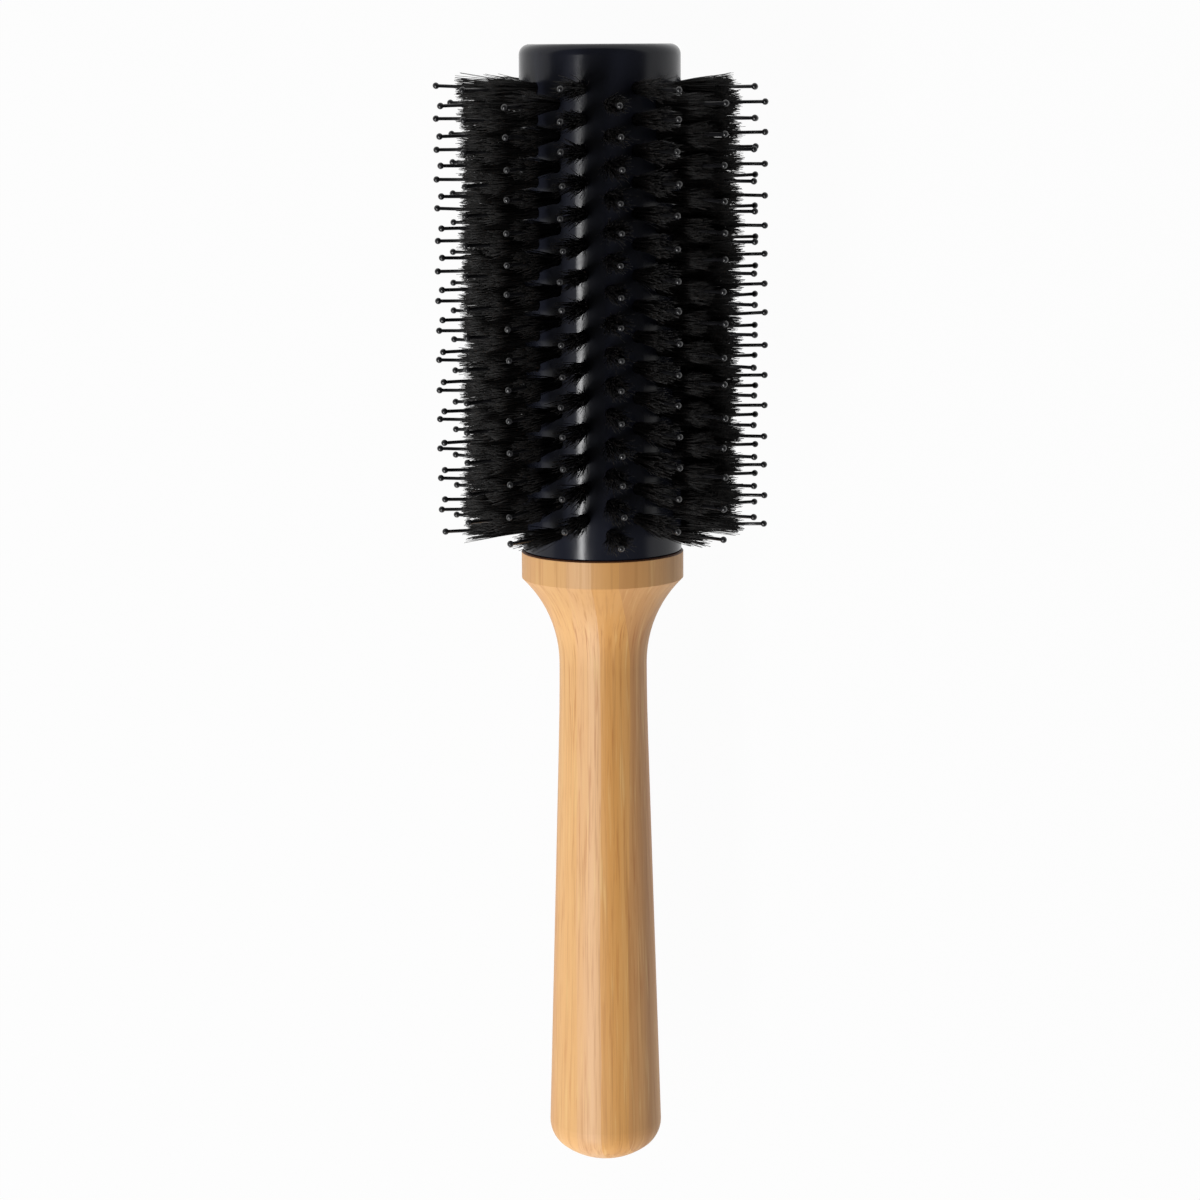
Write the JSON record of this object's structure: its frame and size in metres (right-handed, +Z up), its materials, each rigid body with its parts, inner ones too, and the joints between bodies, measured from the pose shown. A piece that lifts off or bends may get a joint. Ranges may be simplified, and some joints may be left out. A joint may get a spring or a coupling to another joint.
{
  "type": "round barrel brush",
  "caption": "Round hair brush: turned bamboo handle, black lacquered barrel, staggered rows of boar tufts, each with a longer ball-tipped nylon pin.",
  "frame": {"origin": "on the surface the brush lies on, below the middle of its length and its axis", "axes": "+Y along the brush axis from the handle's butt towards the barrel's free end, +Z up, +X to the right"},
  "size_m": [0.0706, 0.242, 0.0695],
  "materials": {
    "bamboo": "satin",
    "black_lacquer": "gloss",
    "boar_bristle": "satin",
    "black_nylon": "gloss",
    "anchor_wire": "satin"
  },
  "bodies": {
    "root": {"bamboo_handle": "bamboo", "barrel_core": "black_lacquer", "tuft_anchors": "anchor_wire", "boar_tufts_row_01": "boar_bristle", "boar_tufts_row_02": "boar_bristle", "boar_tufts_row_03": "boar_bristle", "boar_tufts_row_04": "boar_bristle", "boar_tufts_row_05": "boar_bristle", "boar_tufts_row_06": "boar_bristle", "boar_tufts_row_07": "boar_bristle", "boar_tufts_row_08": "boar_bristle", "boar_tufts_row_09": "boar_bristle", "boar_tufts_row_10": "boar_bristle", "boar_tufts_row_11": "boar_bristle", "boar_tufts_row_12": "boar_bristle", "boar_tufts_row_13": "boar_bristle", "boar_tufts_row_14": "boar_bristle", "boar_tufts_row_15": "boar_bristle", "boar_tufts_row_16": "boar_bristle", "boar_tufts_row_17": "boar_bristle", "boar_tufts_row_18": "boar_bristle", "nylon_pins_row_01": "black_nylon", "nylon_pins_row_02": "black_nylon", "nylon_pins_row_03": "black_nylon", "nylon_pins_row_04": "black_nylon", "nylon_pins_row_05": "black_nylon", "nylon_pins_row_06": "black_nylon", "nylon_pins_row_07": "black_nylon", "nylon_pins_row_08": "black_nylon", "nylon_pins_row_09": "black_nylon", "nylon_pins_row_10": "black_nylon", "nylon_pins_row_11": "black_nylon", "nylon_pins_row_12": "black_nylon", "nylon_pins_row_13": "black_nylon", "nylon_pins_row_14": "black_nylon", "nylon_pins_row_15": "black_nylon", "nylon_pins_row_16": "black_nylon", "nylon_pins_row_17": "black_nylon", "nylon_pins_row_18": "black_nylon"}
  },
  "joints": []
}
